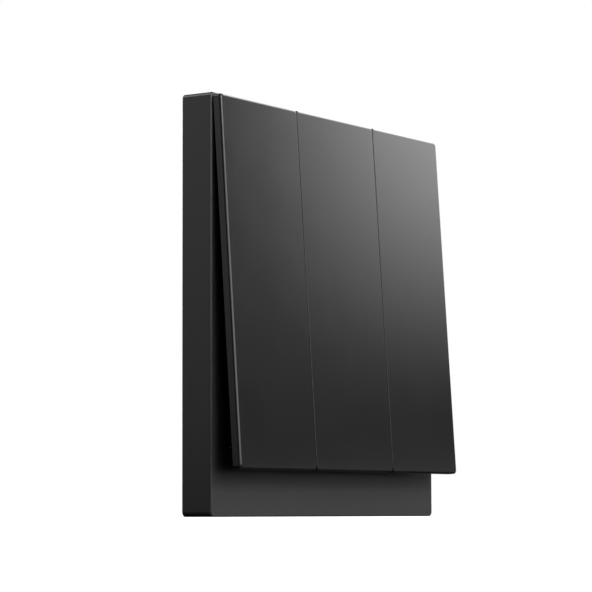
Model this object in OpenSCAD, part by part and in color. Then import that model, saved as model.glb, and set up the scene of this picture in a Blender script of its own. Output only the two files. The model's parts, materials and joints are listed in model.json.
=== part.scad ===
// Three-gang large-panel rocker wall switch, 86 mm pattern, with a snap-on cover frame.
// Frame: X to the right, +Y into the wall, +Z up, the front towards -Y.
// Origin: the centre of the plate on the wall plane, midway between the two fixing slots.

/* [Cover frame] */
// Side of the square cover frame
frame_size = 86; // [84:0.5:92]
// Depth of the cover frame, from the wall to its front face
frame_depth = 7.25; // [7:0.05:9]
// Wall thickness of the cover frame's skirt
frame_wall = 2; // [1.5:0.1:2.5]
// Thickness of the cover frame's front skin
frame_skin = 1.6; // [1.2:0.1:2]
// Radius of the cover frame's four corners
frame_corner_r = 1; // [0.6:0.1:3]
// Height of the skin left above the opening
frame_top_ledge = 5.5; // [4:0.1:7]
// Height of the strip of skin left below the opening
frame_bottom_ledge = 14; // [12:0.1:18]

/* [Rockers] */
// Thickness of a rocker cap
cap_t = 2; // [1.6:0.1:2.5]
// Length of a rocker cap from its top end to its bottom end
cap_len = 76.2; // [70:0.1:78]
// Gap between a cap's outer side and the frame's side
cap_side_inset = 0.43; // [0.3:0.01:1]
// Width of the middle cap, from seam to seam
middle_cap_w = 30; // [26:0.5:34]
// Gap at the seam between two caps
seam_gap = 0.2; // [0.15:0.05:0.6]
// Lean of the caps at rest, with their lower ends out
rest_tilt = 3.67; // [2.5:0.01:3.75]
// Angle that a rocker turns from one position to the other
rocker_travel = 7.3; // [5:0.1:7.4]
// Distance from the pivot axis to a cap's back face
pivot_to_cap = 6.6; // [6.2:0.1:7]
// Gap between the cap's top end at rest and the frame's front face
cap_rest_gap = 0.1; // [0.05:0.05:0.3]
// Height of the pivot axis above the plate's centre
pivot_z = 4; // [2:0.1:6]

/* [Mechanism] */
// Distance from one gang's mechanism to the next
gang_pitch = 15; // [14.6:0.1:16]
// Thickness of the housing's outer walls
housing_wall = 1.3; // [1:0.1:1.6]
// Thickness of the housing's back wall
housing_back = 1.4; // [1:0.1:1.8]
// Depth of the housing behind the wall plane
housing_depth = 13.5; // [13:0.1:16]
// Height of the housing's box
housing_h = 44; // [43:0.5:50]
// Thickness of the walls between the chambers
partition_t = 1; // [0.8:0.1:1.4]
// Thickness of the bearing deck and of the housing's flange
deck_t = 1.5; // [1.2:0.1:2]
// Radius of the carrier's pivot pins
pin_r = 1.25; // [1:0.05:1.4]
// Radial clearance of the pivot pins and plungers
running_gap = 0.05; // [0.02:0.01:0.08]
// Angle that a contact bridge leans to either side
bridge_lean = 10; // [8:0.5:10.5]
// Distance from the bridge's pivot to each contact
contact_arm = 7; // [6:0.1:7.5]

/* [Fixing and wiring] */
// Distance between the two fixing slots
fixing_pitch = 60.3; // [60:0.1:60.6]
// Width of a fixing slot
slot_w = 4.3; // [3.8:0.1:4.6]
// Length of a fixing slot, from end to end
slot_len = 7; // [6:0.1:7.5]
// Thickness of the steel yoke
yoke_t = 1.2; // [1:0.1:1.5]
// Side of the square yoke
yoke_size = 76; // [74:0.5:77]
// Radius of the hole that takes the wire in a terminal
wire_r = 1.4; // [1.2:0.05:1.6]
// Radius of the wire entries in the housing's back
entry_r = 1.8; // [1.7:0.05:2]

/* [Hidden] */
$fn = 48;
GANGS = ["left", "middle", "right"];

eps = 0.01;
loose = 0.1;                 // gap between moulded pieces that clip together
gap = 0.3;                   // gap between pieces that only lie near each other

// Cover frame
half = frame_size / 2;
frame_front = -frame_depth;
skin_back = frame_front + frame_skin;
hook_cover = 1.5;            // skin inside the snap hooks, up to the opening
open_x = yoke_size / 2 - hook_cover;
open_top = half - frame_top_ledge;
open_bottom = -half + frame_bottom_ledge;

// Rocker pivot: the cap's top back edge at rest is cap_rest_gap in front of the frame
pivot_y = frame_front - cap_rest_gap + pivot_to_cap * cos(rest_tilt) - cap_len / 2 * sin(rest_tilt);
cap_edge_x = half - cap_side_inset;
seam_x = middle_cap_w / 2;

// Yoke, flange and deck lie one on another, from the wall plane forwards
yoke_front = -yoke_t;
flange_front = yoke_front - deck_t;
deck_front = flange_front - deck_t;
housing_x = gang_pitch * 1.5 + housing_wall + 0.2;
chamber_half_h = housing_h / 2 - housing_wall;
back_inner = housing_depth - housing_back;
flange_x = housing_x + 1.9;
flange_half_h = housing_h / 2 + 6;
flange_corner_r = 2;
window_gap = 0.2;            // gap between the housing and the yoke's window

// Bearings: cheeks between the gangs carry the pins of both neighbours
cheek_in = 6.1;              // from a gang's middle to its cheek
cheek_top = pivot_y - 2;
cheek_bottom = yoke_front + gap;
cheek_half_z = 3.2;
window_half_z = 5;
barrel_r = 2;
barrel_half = cheek_in - 0.2;
pin_reach = cheek_in + 1;

// Carrier: a plate behind the cap, a web, a barrel with pins and a hollow stem
plate_t = 1.5;
plate_half_z = 12;
plate_inner_x = seam_x + 0.5;
plate_outer_x = open_x - 0.5;
middle_plate_x = seam_x - 3;
plate_back = -pivot_to_cap + plate_t;
web_half_z = 2.5;
web_back = -1.5;
stem_r = 2.3;
stem_len = 5.6;
stem_bore_r = 1.45;
stem_floor = 0.6;

// Plunger and its spring, along the stem
plunger_r = stem_bore_r - running_gap;
plunger_back = 3.4;
nose_centre = 6.3;
spring_wire_r = 0.15;
spring_r = 1.05;
spring_turns = 4;
spring_steps = 12;           // rings in one turn of the spring
spring_sides = 6;

// Contact bridge: a see-saw under the plunger's nose
bridge_face = 1.2;           // from the bridge's pivot to the face that the plunger rides on
bridge_t = 0.8;
bridge_back = bridge_t - bridge_face;
rivet_r = 0.65;
bridge_half_x = 2.2;
bridge_half_z = 8;
bridge_y = pivot_y + nose_centre + plunger_r + bridge_face + 0.08;
contact_r = 1.3;
contact_back = 0.3;          // from the bridge's pivot to the moving contact's face
contact_air = 0.04;          // left between closed contacts
rivet_t = 0.7;
strip_t = 0.8;
lug_t = 0.4;
fulcrum_r = 0.35;

// Terminals: a drilled brass block at the end of each strip
block_x = 5.6;
block_front = 5;
block_back = back_inner - gap;
block_near = 13.5;           // from the pivot's height to the block's near side
block_far = 19.5;
wire_z = 15.6;
side_x = 3.4;                // how far the two upper blocks stand to either side
screw_y = (block_front + block_back) / 2;
screw_r = 1.2;
screw_head_r = 1.9;
screw_head_t = 1.6;
access_r = 2.1;

// Screws that hold deck and housing to the yoke
deck_screw_x = 19;
deck_screw_z = 25;
deck_screw_r = 1.2;
deck_head_r = 2.2;
deck_head_t = 1.4;
slot_gap = 0.05;             // gap round a screw in its hole

// Silencing pads on posts of the deck
post_z = 8.5;
post_r = 1.6;
post_front = deck_front - 2.2;
pad_r = 1.5;
// Front of a pad that stops the carrier's plate when it leans by an angle
function pad_front(lean) =
    pivot_y + plate_back / cos(lean) + (post_z + pad_r) * tan(lean) + loose;

// Snap hooks of the frame and the yoke's upright tabs
tab_z = 14;
tab_half = 4;
tab_front = yoke_front - 3;
catch_half = 2.3;
catch_y = [-3.3, -2.3];
hook_t = 1.5;
hook_back = -1.6;

function gang_x(g) = (g - 1) * gang_pitch;
function outward(g) = g - 1;   // -1, 0 or 1: the side that a gang stands on

// A box between two opposite corners
module block(low, high) {
    translate(low) cube(high - low);
}

// A cylinder along X, Y or Z that starts at a point
module rod_x(start, r, len) {
    translate(start) rotate([0, 90, 0]) cylinder(r = r, h = len);
}
module rod_y(start, r, len) {
    translate(start) rotate([-90, 0, 0]) cylinder(r = r, h = len);
}
module rod_z(start, r, len) {
    translate(start) cylinder(r = r, h = len);
}

// A flat plate in the XZ plane with round corners, from y0 to y1
module round_plate(half_x, z0, z1, r, y0, y1) {
    block([-half_x + r, y0, z0], [half_x - r, y1, z1]);
    block([-half_x, y0, z0 + r], [half_x, y1, z1 - r]);
    for (x = [-half_x + r, half_x - r]) {
        for (z = [z0 + r, z1 - r]) {
            rod_y([x, y0, z], r, y1 - y0);
        }
    }
}

// What turns with a rocker is drawn about its pivot with the cap upright, then leant to rest
module at_rocker(g) {
    translate([gang_x(g), pivot_y, pivot_z]) rotate([-rest_tilt, 0, 0]) children();
}

// What turns with a bridge, at rest with its lower contact closed
module at_bridge(g, lean = bridge_lean) {
    translate([gang_x(g), bridge_y, pivot_z]) rotate([lean, 0, 0]) children();
}

// ---- Cover frame ----
module face_frame() {
    inner = half - frame_wall;
    color("#2b2b2c") {
        difference() {
            round_plate(half, -half, half, frame_corner_r, frame_front, 0);
            block([-inner, skin_back, -inner], [inner, 1, inner]);
            block([-open_x, frame_front - 1, open_bottom], [open_x, 0, open_top]);
        }
        for (side = [-1, 1]) {
            for (z = [-tab_z, tab_z]) {
                snap_hook(side, z);
            }
        }
        for (x = [-28, -14, 0, 14, 28]) {
            strip_rib(x);
        }
    }
}

// A springy arm with a catch that enters the window of a yoke tab
module snap_hook(side, z) {
    arm_in = yoke_size / 2 + loose;
    mirror([side < 0 ? 1 : 0, 0, 0]) {
        block([arm_in, skin_back - eps, z - catch_half], [arm_in + hook_t, hook_back, z + catch_half]);
        block([arm_in - yoke_t, catch_y[0], z - catch_half], [arm_in + eps, catch_y[1], z + catch_half]);
    }
}

// A rib that stiffens the bottom strip from behind
module strip_rib(x) {
    block([x - 0.5, skin_back - eps, -half + frame_wall - eps], [x + 0.5, -3.2, open_bottom - 1]);
}

// ---- Yoke ----
module mounting_yoke() {
    color("#b9bcc0") {
        difference() {
            round_plate(yoke_size / 2, -yoke_size / 2, yoke_size / 2, 2, yoke_front, 0);
            yoke_window();
            for (side = [-1, 1]) {
                fixing_slot(side);
                for (z = [-deck_screw_z, deck_screw_z]) {
                    rod_y([side * deck_screw_x, -5, pivot_z + z], deck_screw_r + slot_gap, 10);
                }
            }
        }
        for (side = [-1, 1]) {
            for (z = [-tab_z, tab_z]) {
                yoke_tab(side, z);
            }
        }
    }
}

module yoke_window() {
    x = housing_x + window_gap;
    z = housing_h / 2 + window_gap;
    block([-x, -5, pivot_z - z], [x, 5, pivot_z + z]);
}

module fixing_slot(side) {
    run = (slot_len - slot_w) / 2;
    x = side * fixing_pitch / 2;
    block([x - run, -5, -slot_w / 2], [x + run, 5, slot_w / 2]);
    for (end = [-run, run]) {
        rod_y([x + end, -5, 0], slot_w / 2, 10);
    }
}

// An upright tab at the yoke's edge with a window for the frame's catch
module yoke_tab(side, z) {
    outer = yoke_size / 2;
    mirror([side < 0 ? 1 : 0, 0, 0]) {
        difference() {
            block([outer - yoke_t, tab_front, z - tab_half], [outer, yoke_front + eps, z + tab_half]);
            block([outer - 2 * yoke_t, catch_y[0] - loose, z - catch_half - loose],
                  [outer + 1, catch_y[1] + loose, z + catch_half + loose]);
        }
    }
}

// ---- Housing ----
module mechanism_housing() {
    color("#d9d7d0") {
        difference() {
            union() {
                block([-housing_x, yoke_front - eps, pivot_z - housing_h / 2],
                      [housing_x, housing_depth, pivot_z + housing_h / 2]);
                round_plate(flange_x, pivot_z - flange_half_h, pivot_z + flange_half_h,
                            flange_corner_r, flange_front, yoke_front);
            }
            for (g = [0:2]) {
                chamber(g);
                wire_entries(g);
                screw_accesses(g);
            }
            block([-housing_x + housing_wall, flange_front - 1, pivot_z - chamber_half_h],
                  [housing_x - housing_wall, cheek_bottom + loose, pivot_z + chamber_half_h]);
            for (x = [-deck_screw_x, deck_screw_x]) {
                for (z = [-deck_screw_z, deck_screw_z]) {
                    rod_y([x, -5, pivot_z + z], deck_screw_r + slot_gap, 6);
                }
            }
        }
    }
}

// The space of one gang's contacts
module chamber(g) {
    wall = gang_pitch / 2 - partition_t / 2;
    left = g == 0 ? -housing_x + housing_wall : gang_x(g) - wall;
    right = g == 2 ? housing_x - housing_wall : gang_x(g) + wall;
    block([left, flange_front - 1, pivot_z - chamber_half_h], [right, back_inner, pivot_z + chamber_half_h]);
}

module wire_entries(g) {
    for (p = terminal_places()) {
        rod_y([gang_x(g) + p[0], back_inner - 1, pivot_z + p[1] * wire_z], entry_r, 4);
    }
}

module screw_accesses(g) {
    for (p = terminal_places()) {
        start = p[1] > 0 ? pivot_z + chamber_half_h - 1 : pivot_z - chamber_half_h + 1 - 5;
        rod_z([gang_x(g) + p[0], screw_y, start], access_r, 5);
    }
}

// Sideways place and side (1 above, -1 below) of the three terminals: common, upper, lower
function terminal_places() = [[-side_x, 1], [side_x, 1], [0, -1]];

// ---- Bearing deck ----
module bearing_deck() {
    color("#3a3a3c") {
        difference() {
            union() {
                round_plate(flange_x, pivot_z - flange_half_h, pivot_z + flange_half_h,
                            flange_corner_r, deck_front, flange_front);
                for (g = [0:2]) {
                    cheeks(g);
                    posts(g);
                }
            }
            for (g = [0:2]) {
                deck_window(g);
                bearing_holes(g);
            }
            for (x = [-deck_screw_x, deck_screw_x]) {
                for (z = [-deck_screw_z, deck_screw_z]) {
                    rod_y([x, deck_front - 1, pivot_z + z], deck_screw_r + slot_gap, 4);
                }
            }
        }
    }
}

module cheeks(g) {
    outer = gang_pitch / 2;
    block([gang_x(g) - outer, cheek_top, pivot_z - cheek_half_z],
          [gang_x(g) + outer, cheek_bottom, pivot_z + cheek_half_z]);
}

module deck_window(g) {
    block([gang_x(g) - cheek_in, cheek_top - 1, pivot_z - window_half_z],
          [gang_x(g) + cheek_in, cheek_bottom + 1, pivot_z + window_half_z]);
}

module bearing_holes(g) {
    outer = gang_pitch / 2;
    rod_x([gang_x(g) - outer - eps, pivot_y, pivot_z], pin_r + running_gap, 2 * outer + 2 * eps);
}

module posts(g) {
    for (z = [-post_z, post_z]) {
        rod_y([post_x(g), post_front, pivot_z + z], post_r, deck_front - post_front + eps);
    }
}

// An outer gang's posts stand beyond the seam, under its own plate
function post_x(g) = outward(g) * (plate_inner_x + 4.5);

// The upper pads stop the rockers at rest, the lower ones at the end of their travel
module stop_pads() {
    color("#4d4a46") {
        for (g = [0:2]) {
            for (end = [[post_z, rest_tilt], [-post_z, rocker_travel - rest_tilt]]) {
                front = pad_front(end[1]);
                rod_y([post_x(g), front, pivot_z + end[0]], pad_r, post_front - front);
            }
        }
    }
}

module deck_screws() {
    color("#c9c9c4") {
        for (x = [-deck_screw_x, deck_screw_x]) {
            for (z = [-deck_screw_z, deck_screw_z]) {
                translate([x, 0, pivot_z + z]) cross_screw();
            }
        }
    }
}

// A pan-head screw with a cross recess, which starts at the deck's front
module cross_screw() {
    difference() {
        union() {
            rod_y([0, deck_front - deck_head_t, 0], deck_head_r, deck_head_t);
            rod_y([0, deck_front - eps, 0], deck_screw_r, -deck_front - loose);
        }
        for (turn = [0, 90]) {
            rotate([0, turn, 0]) {
                block([-1.3, deck_front - deck_head_t - 1, -0.25], [1.3, deck_front - 0.6, 0.25]);
            }
        }
    }
}

// ---- Rockers ----
module rocker_cap(g) {
    left = g == 0 ? -cap_edge_x : (g == 1 ? -seam_x + seam_gap / 2 : seam_x + seam_gap / 2);
    right = g == 2 ? cap_edge_x : (g == 1 ? seam_x - seam_gap / 2 : -seam_x - seam_gap / 2);
    x0 = left - gang_x(g);
    x1 = right - gang_x(g);
    clip_x = g == 1 ? 0 : outward(g) * (plate_inner_x + plate_outer_x) / 2 - gang_x(g);
    at_rocker(g) {
        color("#303031") {
            block([x0, -pivot_to_cap - cap_t, -cap_len / 2], [x1, -pivot_to_cap, cap_len / 2]);
            for (side = [-1, 1]) {
                cap_clip(clip_x, side);
                cap_rib(clip_x - 7.5, side);
                cap_rib(clip_x + 7.5, side);
            }
        }
    }
}

// A hook on the cap's back that grips one end of the carrier's plate
module cap_clip(x, side) {
    inner = plate_half_z + 0.05;
    catch_face = plate_back + loose;
    mirror([0, 0, side < 0 ? 1 : 0]) {
        block([x - 4, -pivot_to_cap - eps, inner], [x + 4, catch_face + 0.6, inner + 1.4]);
        block([x - 4, catch_face, inner - 0.6], [x + 4, catch_face + 0.6, inner + eps]);
    }
}

// A stiffening rib on the cap's back
module cap_rib(x, side) {
    mirror([0, 0, side < 0 ? 1 : 0]) {
        block([x - 0.4, -pivot_to_cap - eps, plate_half_z + 1], [x + 0.4, -pivot_to_cap + 1, 30]);
    }
}

module rocker_carrier(g) {
    in_x = g == 1 ? -middle_plate_x : min(outward(g) * plate_inner_x, outward(g) * plate_outer_x) - gang_x(g);
    out_x = g == 1 ? middle_plate_x : max(outward(g) * plate_inner_x, outward(g) * plate_outer_x) - gang_x(g);
    web_in = max(in_x, -barrel_half);
    web_out = min(out_x, barrel_half);
    at_rocker(g) {
        color("#8f9092") {
            difference() {
                union() {
                    block([in_x, -pivot_to_cap, -plate_half_z], [out_x, plate_back, plate_half_z]);
                    block([web_in, plate_back - eps, -web_half_z], [web_out, web_back, web_half_z]);
                    rod_x([-barrel_half, 0, 0], barrel_r, 2 * barrel_half);
                    rod_x([-pin_reach, 0, 0], pin_r, 2 * pin_reach);
                    rod_y([0, 0, 0], stem_r, stem_len);
                }
                rod_y([0, stem_floor, 0], stem_bore_r, stem_len);
            }
        }
    }
}

module plunger(g) {
    at_rocker(g) {
        color("#e8e4d8") {
            rod_y([0, plunger_back, 0], plunger_r, nose_centre - plunger_back);
            translate([0, nose_centre, 0]) sphere(r = plunger_r);
        }
    }
}

// One ring of the spring's wire, at a share of the way along the coil
function spring_ring(k, pitch) =
    let (turn = 360 * k / spring_steps, y = pitch * k / spring_steps)
    [for (i = [0:spring_sides - 1])
        let (a = 360 * i / spring_sides, r = spring_r + spring_wire_r * cos(a))
        [r * cos(turn), y + spring_wire_r * sin(a), r * sin(turn)]];

module plunger_spring(g) {
    start = stem_floor + spring_wire_r + 0.03;
    finish = plunger_back - spring_wire_r - 0.03;
    rings = spring_turns * spring_steps;
    pitch = (finish - start) / spring_turns;
    points = [for (k = [0:rings]) each spring_ring(k, pitch)];
    n = spring_sides;
    sides = [for (k = [0:rings - 1]) for (i = [0:n - 1])
        [k * n + i, (k + 1) * n + i, (k + 1) * n + (i + 1) % n, k * n + (i + 1) % n]];
    first = [for (i = [0:n - 1]) i];
    last = [for (i = [n - 1:-1:0]) rings * n + i];
    at_rocker(g) {
        color("#c4c6c8") {
            translate([0, start, 0]) polyhedron(points, concat([first], sides, [last]));
        }
    }
}

// ---- Contacts ----
module contact_bridge(g) {
    at_bridge(g) {
        color("#b87333") {
            difference() {
                block([-bridge_half_x, -bridge_face, -bridge_half_z],
                      [bridge_half_x, bridge_back, bridge_half_z]);
                for (side = [-1, 1]) {
                    rod_y([0, -bridge_face - 1, side * contact_arm], rivet_r, 3);
                }
            }
            for (side = [-1, 1]) {
                mirror([side < 0 ? 1 : 0, 0, 0]) {
                    block([bridge_half_x - eps, -bridge_face, -1], [bridge_half_x + lug_t, 0.8, 1]);
                }
            }
        }
    }
}

// A silver rivet through each end of the bridge
module moving_contacts(g) {
    at_bridge(g) {
        color("#dcdcda") {
            for (side = [-1, 1]) {
                translate([0, 0, side * contact_arm]) {
                    rod_y([0, bridge_back, 0], contact_r, contact_back - bridge_back);
                    rod_y([0, -bridge_face - 0.25, 0], rivet_r, bridge_t + 0.25 + eps);
                }
            }
        }
    }
}

// The contact that the bridge meets when it leans to one side
module fixed_contacts(g) {
    color("#dcdcda") {
        for (side = [-1, 1]) {
            at_bridge(g, -side * bridge_lean) {
                rod_y([0, contact_back + contact_air, side * contact_arm], contact_r, rivet_t);
            }
        }
    }
}

// The drilled and tapped brass block of one terminal: x from the gang's middle, side 1 above
module terminal_block(x, side) {
    mirror([0, 0, side < 0 ? 1 : 0]) {
        difference() {
            block([x - block_x / 2, block_front, block_near], [x + block_x / 2, block_back, block_far]);
            rod_y([x, block_front + 1, wire_z], wire_r, block_back);
            rod_z([x, screw_y, wire_z], screw_r + slot_gap, block_far);
        }
    }
}

module common_terminal(g) {
    strip_front = back_inner - gap - strip_t - 0.6;
    translate([gang_x(g), 0, pivot_z]) {
        color("#c9a24a") {
            terminal_block(-side_x, 1);
            rod_x([-1.8, bridge_y, 0], fulcrum_r, 3.6);
            block([-1.8, bridge_y, -fulcrum_r], [1.8, bridge_y + 0.6, fulcrum_r]);
            block([-1.8, bridge_y + 0.3, -1.2], [1.8, strip_front + strip_t, 1.2]);
            block([-side_x - 2, strip_front, -1.2], [1.8, strip_front + strip_t, 1.2]);
            block([-side_x - 2, strip_front, -1.2], [-side_x + 2, strip_front + strip_t, block_near + eps]);
        }
    }
}

// A throw terminal: the tilted pad under a fixed contact, a strip and the block
module throw_pad(g, side) {
    pad_y = contact_back + contact_air + rivet_t;
    at_bridge(g, -side * bridge_lean) {
        mirror([0, 0, side < 0 ? 1 : 0]) {
            block([-2, pad_y, contact_arm - 1.8], [2, pad_y + strip_t, contact_arm + 1.8]);
        }
    }
}

function link_y() = bridge_y + contact_back + rivet_t + (contact_arm + 1.5) * sin(bridge_lean);

module upper_terminal(g) {
    color("#c9a24a") {
        throw_pad(g, 1);
        translate([gang_x(g), link_y(), pivot_z]) {
            block([-2, 0, contact_arm + 0.6], [5, strip_t, contact_arm + 5]);
            block([0.8, 0, contact_arm + 5 - eps], [5, strip_t, block_near + eps]);
        }
        translate([gang_x(g), 0, pivot_z]) terminal_block(side_x, 1);
    }
}

module lower_terminal(g) {
    color("#c9a24a") {
        throw_pad(g, -1);
        translate([gang_x(g), link_y(), pivot_z]) {
            block([-2, 0, -block_near - eps], [2, strip_t, -contact_arm - 0.6]);
        }
        translate([gang_x(g), 0, pivot_z]) terminal_block(0, -1);
    }
}

module terminal_screws() {
    color("#c8ccd0") {
        for (g = [0:2]) {
            for (p = terminal_places()) {
                translate([gang_x(g) + p[0], screw_y, pivot_z]) {
                    mirror([0, 0, p[1] < 0 ? 1 : 0]) clamp_screw();
                }
            }
        }
    }
}

// A slotted clamp screw, backed off until its tip is clear of the wire's hole
module clamp_screw() {
    tip = wire_z + wire_r + 0.05;
    seat = block_far + 0.1;
    difference() {
        union() {
            rod_z([0, 0, tip], screw_r, seat - tip + eps);
            rod_z([0, 0, seat], screw_head_r, screw_head_t);
        }
        block([-2, -0.3, seat + screw_head_t - 0.7], [2, 0.3, seat + screw_head_t + 1]);
    }
}

face_frame();
mounting_yoke();
mechanism_housing();
bearing_deck();
deck_screws();
stop_pads();
terminal_screws();
for (g = [0:2]) {
    rocker_cap(g);
    rocker_carrier(g);
    plunger(g);
    plunger_spring(g);
    contact_bridge(g);
    moving_contacts(g);
    fixed_contacts(g);
    common_terminal(g);
    upper_terminal(g);
    lower_terminal(g);
}
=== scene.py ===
# %% [markdown]
# # A three-gang rocker switch, from its inside out
#
# The object is a square wall switch. A snap-on cover frame carries nothing itself: it clips to a
# steel yoke. Behind three big rocker panels sit three small mechanisms in one housing. The CAD
# model fixes every size. This notebook gives the pieces the soft edges, fine surfaces and
# lighting that a plain CAD model lacks.

# %% Load the frame
import json
import math

import bmesh
import bpy
from mathutils import Matrix, Quaternion, Vector

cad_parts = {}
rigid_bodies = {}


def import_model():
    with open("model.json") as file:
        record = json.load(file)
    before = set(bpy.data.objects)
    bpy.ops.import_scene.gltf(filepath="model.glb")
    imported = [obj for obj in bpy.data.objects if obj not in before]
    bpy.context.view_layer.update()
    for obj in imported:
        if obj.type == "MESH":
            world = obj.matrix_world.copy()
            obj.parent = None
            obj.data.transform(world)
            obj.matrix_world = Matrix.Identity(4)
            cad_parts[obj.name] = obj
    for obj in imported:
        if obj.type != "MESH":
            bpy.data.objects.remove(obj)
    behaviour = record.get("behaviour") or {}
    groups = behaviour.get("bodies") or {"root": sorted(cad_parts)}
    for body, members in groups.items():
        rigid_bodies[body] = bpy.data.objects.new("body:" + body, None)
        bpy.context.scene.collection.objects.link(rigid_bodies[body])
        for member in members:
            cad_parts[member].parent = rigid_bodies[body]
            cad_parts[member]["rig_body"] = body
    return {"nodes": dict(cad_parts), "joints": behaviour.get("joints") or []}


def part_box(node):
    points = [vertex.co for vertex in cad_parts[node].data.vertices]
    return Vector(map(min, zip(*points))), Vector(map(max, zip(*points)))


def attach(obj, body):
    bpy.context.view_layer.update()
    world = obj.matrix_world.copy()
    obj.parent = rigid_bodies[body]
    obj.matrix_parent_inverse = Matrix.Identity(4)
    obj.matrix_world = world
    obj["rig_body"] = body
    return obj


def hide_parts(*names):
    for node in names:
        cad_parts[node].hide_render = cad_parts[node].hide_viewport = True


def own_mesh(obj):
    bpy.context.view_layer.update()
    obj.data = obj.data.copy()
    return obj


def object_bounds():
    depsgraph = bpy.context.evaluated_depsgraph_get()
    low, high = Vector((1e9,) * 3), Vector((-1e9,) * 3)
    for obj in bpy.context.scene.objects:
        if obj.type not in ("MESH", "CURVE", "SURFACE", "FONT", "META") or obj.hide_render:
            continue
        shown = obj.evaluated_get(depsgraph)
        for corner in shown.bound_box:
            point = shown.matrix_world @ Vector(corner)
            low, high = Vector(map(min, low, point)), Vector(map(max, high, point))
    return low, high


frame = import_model()
scene = bpy.context.scene
cad_box = [list(corner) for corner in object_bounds()]
GANGS = ("left", "middle", "right")
MM = 0.001

# %% [markdown]
# ## The camera
#
# The camera stands at the front left, level with the plate's lower edge, and looks slightly up. It
# shows the plate's thin side and the lean of the panels at once. Its long lens keeps the plate's
# edges nearly parallel. A constraint could aim it, but one rotation worked out from the view line
# stays put.

# %% Camera
AIM = Vector((-0.001017, 0.000335, 0.004621))
VIEW_LINE = Vector((0.82699, 0.55559, 0.08605)).normalized()
CAMERA_DISTANCE = 0.550
FOCAL_LENGTH = 154.325
SENSOR_WIDTH = 36.0
ROLL = math.radians(-0.18)

camera_data = bpy.data.cameras.new("product_camera")
camera_data.lens = FOCAL_LENGTH
camera_data.sensor_width = SENSOR_WIDTH
camera_data.clip_start = 0.01
camera = bpy.data.objects.new("product_camera", camera_data)
scene.collection.objects.link(camera)
camera.location = AIM - CAMERA_DISTANCE * VIEW_LINE
camera.rotation_mode = "QUATERNION"
camera_roll = Quaternion((0.0, 0.0, 1.0), ROLL)
camera.rotation_quaternion = VIEW_LINE.to_track_quat("-Z", "Y") @ camera_roll
scene.camera = camera
scene.view_settings.view_transform = "Standard"
print("camera at", [round(c, 4) for c in camera.location])

# %% [markdown]
# ## Building blocks for finishes
#
# Every finish starts from one Principled shader. The shader's own sockets hold what is the same
# everywhere, and noise drives only what truly varies over a moulded or metal surface: a slight
# mottling of the colour, uneven gloss and a fine grain. Object coordinates are used, so the grain
# keeps its real size and stays with its piece when it moves.


# %% Helpers for finishes
NOISE_LOW, NOISE_HIGH = 0.3, 0.7    # most of a noise's values lie between these two
NOISE_ROUGHNESS = 0.55              # how much the finer octaves of a noise count


def new_finish(name):
    """A material with a Principled shader, and its node tree, shader and coordinates."""
    finish = bpy.data.materials.new(name)
    finish.use_nodes = True
    tree = finish.node_tree
    shader = tree.nodes["Principled BSDF"]
    place = tree.nodes.new("ShaderNodeTexCoord")
    return finish, tree, shader, place.outputs["Object"]


def noise(tree, place, size, detail, stretch=(1.0, 1.0, 1.0)):
    """Noise with features of a real size in metres, longer along a stretched axis."""
    mapping = tree.nodes.new("ShaderNodeMapping")
    mapping.inputs["Scale"].default_value = [1.0 / (size * s) for s in stretch]
    texture = tree.nodes.new("ShaderNodeTexNoise")
    texture.inputs["Scale"].default_value = 1.0
    texture.inputs["Detail"].default_value = detail
    texture.inputs["Roughness"].default_value = NOISE_ROUGHNESS
    tree.links.new(place, mapping.inputs["Vector"])
    tree.links.new(mapping.outputs["Vector"], texture.inputs["Vector"])
    return texture.outputs["Fac"]


def spread(tree, value, low, high):
    """Maps the middle of a noise onto a range of values."""
    span = tree.nodes.new("ShaderNodeMapRange")
    span.inputs["From Min"].default_value = NOISE_LOW
    span.inputs["From Max"].default_value = NOISE_HIGH
    span.inputs["To Min"].default_value = low
    span.inputs["To Max"].default_value = high
    tree.links.new(value, span.inputs["Value"])
    return span.outputs["Result"]


def tint(tree, value, dark, light):
    """A colour that wanders between two tones as a noise rises and falls."""
    ramp = tree.nodes.new("ShaderNodeValToRGB")
    stops = ((NOISE_LOW, dark), (NOISE_HIGH, light))
    for element, (position, colour) in zip(ramp.color_ramp.elements, stops):
        element.position = position
        element.color = (*colour, 1.0)
    tree.links.new(value, ramp.inputs["Fac"])
    return ramp.outputs["Color"]


def grain(tree, shader, heights, depth):
    """Adds a bump for each noise in a list of (noise, share of a real depth in metres)."""
    normal = None
    for height, share in heights:
        bump = tree.nodes.new("ShaderNodeBump")
        bump.inputs["Strength"].default_value = 1.0
        bump.inputs["Distance"].default_value = depth * share
        tree.links.new(height, bump.inputs["Height"])
        if normal is not None:
            tree.links.new(normal, bump.inputs["Normal"])
        normal = bump.outputs["Normal"]
    tree.links.new(normal, shader.inputs["Normal"])


print("noise is used between", NOISE_LOW, "and", NOISE_HIGH)

# %% [markdown]
# ## Moulded plastics
#
# A satin panel is a polycarbonate moulding from a mould with a fine spark-eroded skin. Up close
# it shows a very fine grain, a faint unevenness of gloss where the melt flowed, and almost no
# change of colour. The mechanism's mouldings are plainer and a bit duller. One recipe makes them
# all, with the tone, the gloss and the grain as its values. The gloss of the cover frame is kept
# to a narrow range, because a wider one showed as patches on its plain strip.


# %% Plastic finishes
FLOW_SIZE = 0.011       # metres between two patches of melt
WAVE_SIZE = 0.006       # metres between two waves of a face that isn't quite flat


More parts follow.
